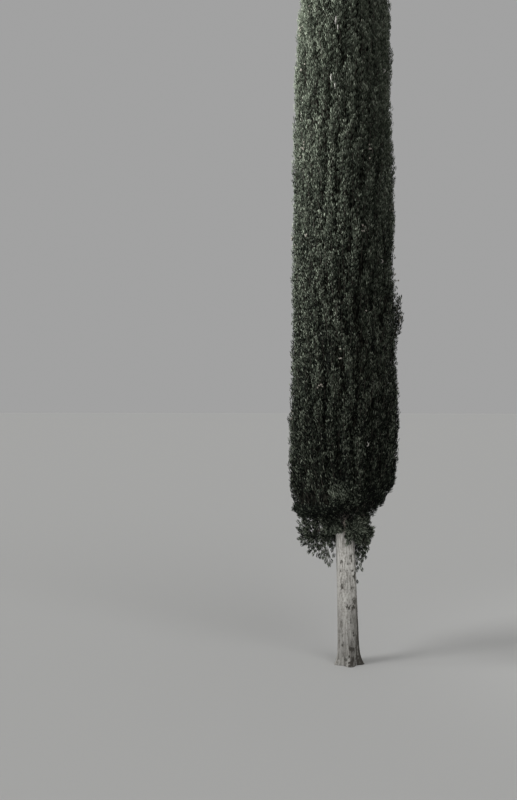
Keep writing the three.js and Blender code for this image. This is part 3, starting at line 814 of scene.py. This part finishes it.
# Bark of the crown's limbs and twigs, painted dark as shade
shaded_twig_bark, _, _ = new_material("shaded_twig_bark", {"Base Color": SHADED_TWIG_BARK, "Roughness": 0.9})
limb_parts = []
twig_parts = []
for k, (controls, mass, _) in enumerate(plume_sets):
    curves = mass_limbs(k)
    if k > 0:
        t = np.repeat(np.linspace(0, 1, LIMB_STEPS)[None], len(curves[0]), axis=0)
        paths, _ = bezier(curves, t)
        root_radius = LIMB_RADIUS["root"] - LIMB_RADIUS["less_a_tier"] * k
        limb_parts.append(limbs(paths, lerp(root_radius, LIMB_RADIUS["end"], t), LIMB_SIDES))
    low_z, high_z = curves[0][mass, 2], curves[2][mass, 2]
    share = np.clip((controls[0][:, 2] - TWIG_DROP - low_z) / (high_z - low_z), *TWIG_ENDS)
    from_limb, _ = bezier([control[mass] for control in curves], share[:, None])
    on_plume, _ = bezier(controls, np.repeat(TWIG_STEPS[None], len(mass), axis=0))
    paths = np.concatenate([from_limb, on_plume], axis=1)
    twig_parts.append(limbs(paths, np.repeat(TWIG_RADII[None], len(mass), axis=0), TWIG_SIDES))
for name, parts in (("crown_limbs", limb_parts), ("crown_twigs", twig_parts)):
    wood = mesh_piece(name, *gather(parts), [shaded_twig_bark], smooth=True)
    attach(wood, "root")

# Bare limb ends
# In a few places the column has opened, and the pale upright wood of a limb shows in the crease
# between two plumes: a thin rough tube, mostly hidden by the sprays on both sides of it.
BARE_LIMBS = (
    {"height": 13.83, "turn": 255, "long": 0.13},
    {"height": 13.67, "turn": 256, "long": 0.08},
    {"height": 13.78, "turn": 267, "long": 0.08},
    {"height": 12.61, "turn": 255.5, "long": 0.12},
    {"height": 12.43, "turn": 257.5, "long": 0.1},
    {"height": 12.87, "turn": 336, "long": 0.07},
    {"height": 8.76, "turn": 313, "long": 0.07},
    {"height": 4.88, "turn": 293, "long": 0.07},
    {"height": 11.6, "turn": 20, "long": 0.3},
    {"height": 16.7, "turn": 110, "long": 0.28},
    {"height": 7.9, "turn": 142, "long": 0.34},
    {"height": 12.4, "turn": 75, "long": 0.3},
    {"height": 15.1, "turn": 190, "long": 0.24},
)
BARE_STEPS = 9
BARE_RADIUS = 0.0115
BARE_TAPER = 0.25
BARE_KNOTS = 0.2
BARE_DEPTH = 0.045
BARE_STRETCH = 0.6
BARE_WANDER = 0.025
PALE_LIMB = (0.33, 0.32, 0.295)
middle_z = np.array([[limb["height"]] for limb in BARE_LIMBS])
length = np.array([[limb["long"]] for limb in BARE_LIMBS])
a = np.radians([[limb["turn"]] for limb in BARE_LIMBS])
a = a - np.arcsin(np.sin(phase(middle_z, a))) / LOBES
along = np.linspace(-1, 1, BARE_STEPS)[None]
z = middle_z + BARE_STRETCH * length * along
r = reach(z, a) * (1 - BARE_DEPTH * (1 + along**2))
wander = BARE_WANDER * length * np.sin(5 * along + 7 * middle_z)
paths = crown_point(z, r, a + wander)
radii = BARE_RADIUS * (1 - BARE_TAPER * along + BARE_KNOTS * np.sin(9 * along + middle_z))
pale_limb, _, _ = new_material("pale_limb", {"Base Color": PALE_LIMB, "Roughness": 0.9})
bare = mesh_piece("bare_limb_ends", *limbs(paths, radii, LIMB_SIDES), [pale_limb], smooth=True)
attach(bare, "root")

# Skirt
# Thin limbs leave the trunk between the lowest boughs and hang loose sprays under the crown,
# lower the nearer they are to the trunk. They reach furthest out on the left, and hang lowest at
# the back right.
SKIRTS = (
    {"name": "skirt_right", "turn": 0, "out": 0.6, "outer": 2.8, "inner": 1.98, "twigs": 11},
    {"name": "skirt_right_back", "turn": 60, "out": 0.62, "outer": 2.6, "inner": 1.7, "twigs": 11},
    {"name": "skirt_left_back", "turn": 120, "out": 0.8, "outer": 2.62, "inner": 2.2, "twigs": 10},
    {"name": "skirt_left", "turn": 180, "out": 1.06, "outer": 2.64, "inner": 2.06, "twigs": 14},
    {"name": "skirt_left_front", "turn": 240, "out": 0.66, "outer": 2.98, "inner": 2.84, "twigs": 9},
    {"name": "skirt_right_front", "turn": 300, "out": 0.6, "outer": 2.96, "inner": 2.52, "twigs": 9},
)
SKIRT_START = CROWN_FOOT - 0.15
SKIRT_BEND = {"up": 0.02, "share": 0.45}
SKIRT_DROOP = {"down": 0.6, "share": 0.74}
SKIRT_INSIDE = 0.33
SKIRT_TWIG_ROOTS = (0.5, 0.99)
SKIRT_ASIDE = (2, 22)
SKIRT_TUFTS = 8
SKIRT_SPRAYS = 11
SKIRT_SPAN = (0.15, 1.0)
SKIRT_TUFT_LENGTH = 0.14
SKIRT_TUFT_RADIUS = 0.045
SKIRT_TONE = 1.2
SKIRT_STRAY = 0.8
SKIRT_LIMB_RADII = (0.026, 0.01)
SKIRT_TWIG_RADII = (0.007, 0.003)
SKIRT_TWIG_STEPS = np.linspace(0, 0.95, 5)


def skirt_growth(design, rng):
    """One skirt's limb and its sprays as curves. The limb runs out level and then droops. Twig
    i of n leaves it at the share (i + 0.5) / n of its outer half, and hangs down to a height at
    the share i / (n - 1) between the inner and the outer one. A second spray leaves each twig to
    the side, and a third leaves the limb, up towards the crown's foot."""
    middle = math.radians(design["turn"])
    droop_z = lerp(SKIRT_START, design["outer"], SKIRT_DROOP["down"])
    limb = tuple(
        crown_point(np.array([z]), r, np.array([middle]))
        for z, r in (
            (SKIRT_START, 0.0),
            (SKIRT_START + SKIRT_BEND["up"], design["out"] * SKIRT_BEND["share"]),
            (droop_z, design["out"] * SKIRT_DROOP["share"]),
        )
    )
    i = np.arange(design["twigs"])
    t = (i + 0.5) / design["twigs"]
    root = bezier(limb, lerp(*SKIRT_TWIG_ROOTS, t)[None])[0][0]
    side = np.where(i % 2, 1, -1) * np.radians(rng.uniform(*SKIRT_ASIDE, len(i)))
    out = lerp(SKIRT_INSIDE, design["out"], t)
    hang = lerp(design["inner"], design["outer"], i / i[-1]) + rng.uniform(0, 0.12, len(i))
    tip = crown_point(hang, out, middle + side)
    aside_z = lerp(hang, SKIRT_START, rng.uniform(0.35, 0.9, len(i)))
    aside = crown_point(aside_z, out * 1.04, middle - side * 1.3)
    above_r = out * rng.uniform(0.95, 1.12, len(i))
    above_a = middle + side * 1.2
    above_z = lerp(SKIRT_START, foot(above_r, above_a) + 0.1, rng.uniform(0.2, 1, len(i)))
    above = crown_point(above_z, above_r, above_a)
    ends = np.concatenate([tip, aside, above])
    roots = np.concatenate([root, lerp(root, tip, 0.3), root])
    bends = lerp(roots, ends, 0.5) + np.array([0, 0, 0.05])
    return limb, (roots, bends, ends)


rng = np.random.default_rng(90)
grown = [skirt_growth(design, rng) for design in SKIRTS]
curves = tuple(np.concatenate([growth[1][i] for growth in grown]) for i in range(3))
level = SKIRT_TONE + rng.normal(0, SKIRT_STRAY, len(curves[0]))
hung = tufts(curves, SKIRT_TUFTS, SKIRT_SPAN, SKIRT_TUFT_RADIUS, SKIRT_TUFT_LENGTH, level, rng)
corners, triangles, tones = sprays(*hung, SKIRT_SPRAYS, rng)
skirt = mesh_piece("skirt_sprays", corners, triangles, foliage_paints, tones)
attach(skirt, "root")
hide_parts(*[design["name"] for design in SKIRTS])

skirt_limbs = tuple(np.concatenate([growth[0][i] for growth in grown]) for i in range(3))
t = np.repeat(np.linspace(0, 1, LIMB_STEPS)[None], len(SKIRTS), axis=0)
twig_t = np.repeat(SKIRT_TWIG_STEPS[None], len(level), axis=0)
skirt_wood = gather([
    limbs(bezier(skirt_limbs, t)[0], lerp(*SKIRT_LIMB_RADII, t), LIMB_SIDES),
    limbs(bezier(curves, twig_t)[0], lerp(*SKIRT_TWIG_RADII, twig_t), TWIG_SIDES),
])
# The skirt's wood takes the same bark, painted dark as shade
skirt_twigs = mesh_piece("skirt_twigs", *skirt_wood, [shaded_twig_bark], smooth=True)
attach(skirt_twigs, "root")

# Cones
# Small round woody cones, dry and grey-brown, in clusters among the outer sprays. Each is made
# of shield-shaped scales, here the faces of a twenty-sided ball with their middles raised.
CONE_RADIUS = 0.017
CONE_CLUSTERS = 80
MOST_IN_CLUSTER = 5
CLUSTER_TALL = 0.06
CLUSTER_TURN = 0.035
CONE_HEIGHTS = (5.0, 20.3)
CONE_SHARES = (0.93, 0.99)
CONE_SIZES = (0.8, 1.15)
SCALE_RAISED = 1.12
DRY_CONE = (0.25, 0.23, 0.195)


def cone_shape():
    """A ball of twenty triangles whose corners are the turns of (0, 1, golden ratio), each split
    in three about a raised middle."""
    g = (1 + math.sqrt(5)) / 2
    base = np.array([(0, s, t * g) for s in (-1, 1) for t in (-1, 1)], float)
    ball = unit(np.concatenate([np.roll(base, turn, axis=1) for turn in range(3)]))
    # Neighbours lie 63 degrees apart, with a cosine of 0.447, and all others further
    near = ball @ ball.T > 0.4
    faces = []
    for i in range(12):
        for j in range(i + 1, 12):
            for m in range(j + 1, 12):
                if near[i, j] and near[j, m] and near[i, m]:
                    outward = np.dot(np.cross(ball[j] - ball[i], ball[m] - ball[i]), ball[i]) > 0
                    faces.append((i, j, m) if outward else (i, m, j))
    faces = np.array(faces)
    raised = unit(ball[faces].mean(1)) * SCALE_RAISED
    middle = 12 + np.arange(len(faces))
    split = [np.stack([faces[:, i], faces[:, (i + 1) % 3], middle], axis=-1) for i in range(3)]
    return np.concatenate([ball, raised]), np.concatenate(split)


rng = np.random.default_rng(61)
cones = rng.integers(1, MOST_IN_CLUSTER + 1, CONE_CLUSTERS)
count = cones.sum()
z = np.repeat(rng.uniform(*CONE_HEIGHTS, CONE_CLUSTERS), cones) + rng.normal(0, CLUSTER_TALL, count)
a = np.repeat(rng.uniform(0, 2 * math.pi, CONE_CLUSTERS), cones) + rng.normal(0, CLUSTER_TURN, count)
middles = crown_point(z, reach(z, a) * rng.uniform(*CONE_SHARES, count), a)
ball, faces = cone_shape()
size = CONE_RADIUS * rng.uniform(*CONE_SIZES, count)
corners = middles[:, None] + ball[None] * size[:, None, None]
triangles = faces[None] + len(ball) * np.arange(count)[:, None, None]
dry_cone, _, _ = new_material("dry_cone", {"Base Color": DRY_CONE, "Roughness": 0.8})
cone_piece = mesh_piece("cones", corners.reshape(-1, 3), triangles.reshape(-1, 3), [dry_cone])
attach(cone_piece, "root")

# Studio
# A plain pale floor under an even pale sky. A key sun from the left, a weaker one from the front
# right, one soft lamp high on the left for the upper crown and one low down for the trunk. The
# camera is level, at the photograph's height, distance and turn.
PHOTO_WIDTH = 517
PHOTO_HEIGHT = 800
FOCAL_PIXELS = 942
TREE_AT_PIXEL = 348.2
SENSOR = 36
EYE = (0.0, -20.9, 5.81)
FLOOR_HALF = 400
FLOOR_TONE = (0.53, 0.53, 0.52)
SKY_TONE = (0.36, 0.36, 0.36)
floor_mesh = bpy.data.meshes.new("floor")
floor_corners = [(x * FLOOR_HALF, y * FLOOR_HALF, 0) for x, y in ((-1, -1), (1, -1), (1, 1), (-1, 1))]
floor_mesh.from_pydata(floor_corners, [], [(0, 1, 2, 3)])
floor = bpy.data.objects.new("floor", floor_mesh)
bpy.context.collection.objects.link(floor)
floor_paint, _, _ = new_material("floor_paint", {"Base Color": FLOOR_TONE, "Roughness": 0.95})
floor_mesh.materials.append(floor_paint)

world = bpy.data.worlds.new("studio")
bpy.context.scene.world = world
world.use_nodes = True
world.node_tree.nodes["Background"].inputs["Color"].default_value = (*SKY_TONE, 1)


def lamp(name, kind, settings, turn, tilt, place=(0, 0, 30)):
    """A light that shines down by the tilt from level, from a turn to the left of the camera."""
    data = bpy.data.lights.new(name, kind)
    for key, value in settings.items():
        setattr(data, key, value)
    made = bpy.data.objects.new(name, data)
    made.location = place
    made.rotation_euler = (math.radians(90 - tilt), 0, math.radians(-turn))
    made.visible_camera = False
    bpy.context.collection.objects.link(made)


lamp("key", "SUN", {"energy": 1.05, "angle": math.radians(20)}, turn=62, tilt=38)
lamp("front_fill", "SUN", {"energy": 0.65, "angle": math.radians(40)}, turn=-32, tilt=36)
top = {"energy": 41000, "shadow_soft_size": 4.0, "spot_size": math.radians(62), "spot_blend": 1.0}
lamp("top_glow", "SPOT", top, turn=84, tilt=6, place=(-16.0, -1.7, 14.6))
low = {"energy": 4000, "shadow_soft_size": 1.2, "spot_size": math.radians(15), "spot_blend": 1.0}
lamp("trunk_light", "SPOT", low, turn=14, tilt=0, place=(-3.4, -13.6, 2.7))

camera_data = bpy.data.cameras.new("camera")
camera_data.sensor_width = SENSOR
camera_data.lens = SENSOR * FOCAL_PIXELS / PHOTO_HEIGHT
camera_data.clip_end = 1000
camera = bpy.data.objects.new("camera", camera_data)
camera.location = EYE
camera.rotation_euler = (math.pi / 2, 0, math.atan((TREE_AT_PIXEL - PHOTO_WIDTH / 2) / FOCAL_PIXELS))
bpy.context.collection.objects.link(camera)
bpy.context.scene.camera = camera
bpy.context.scene.view_settings.view_transform = "Standard"
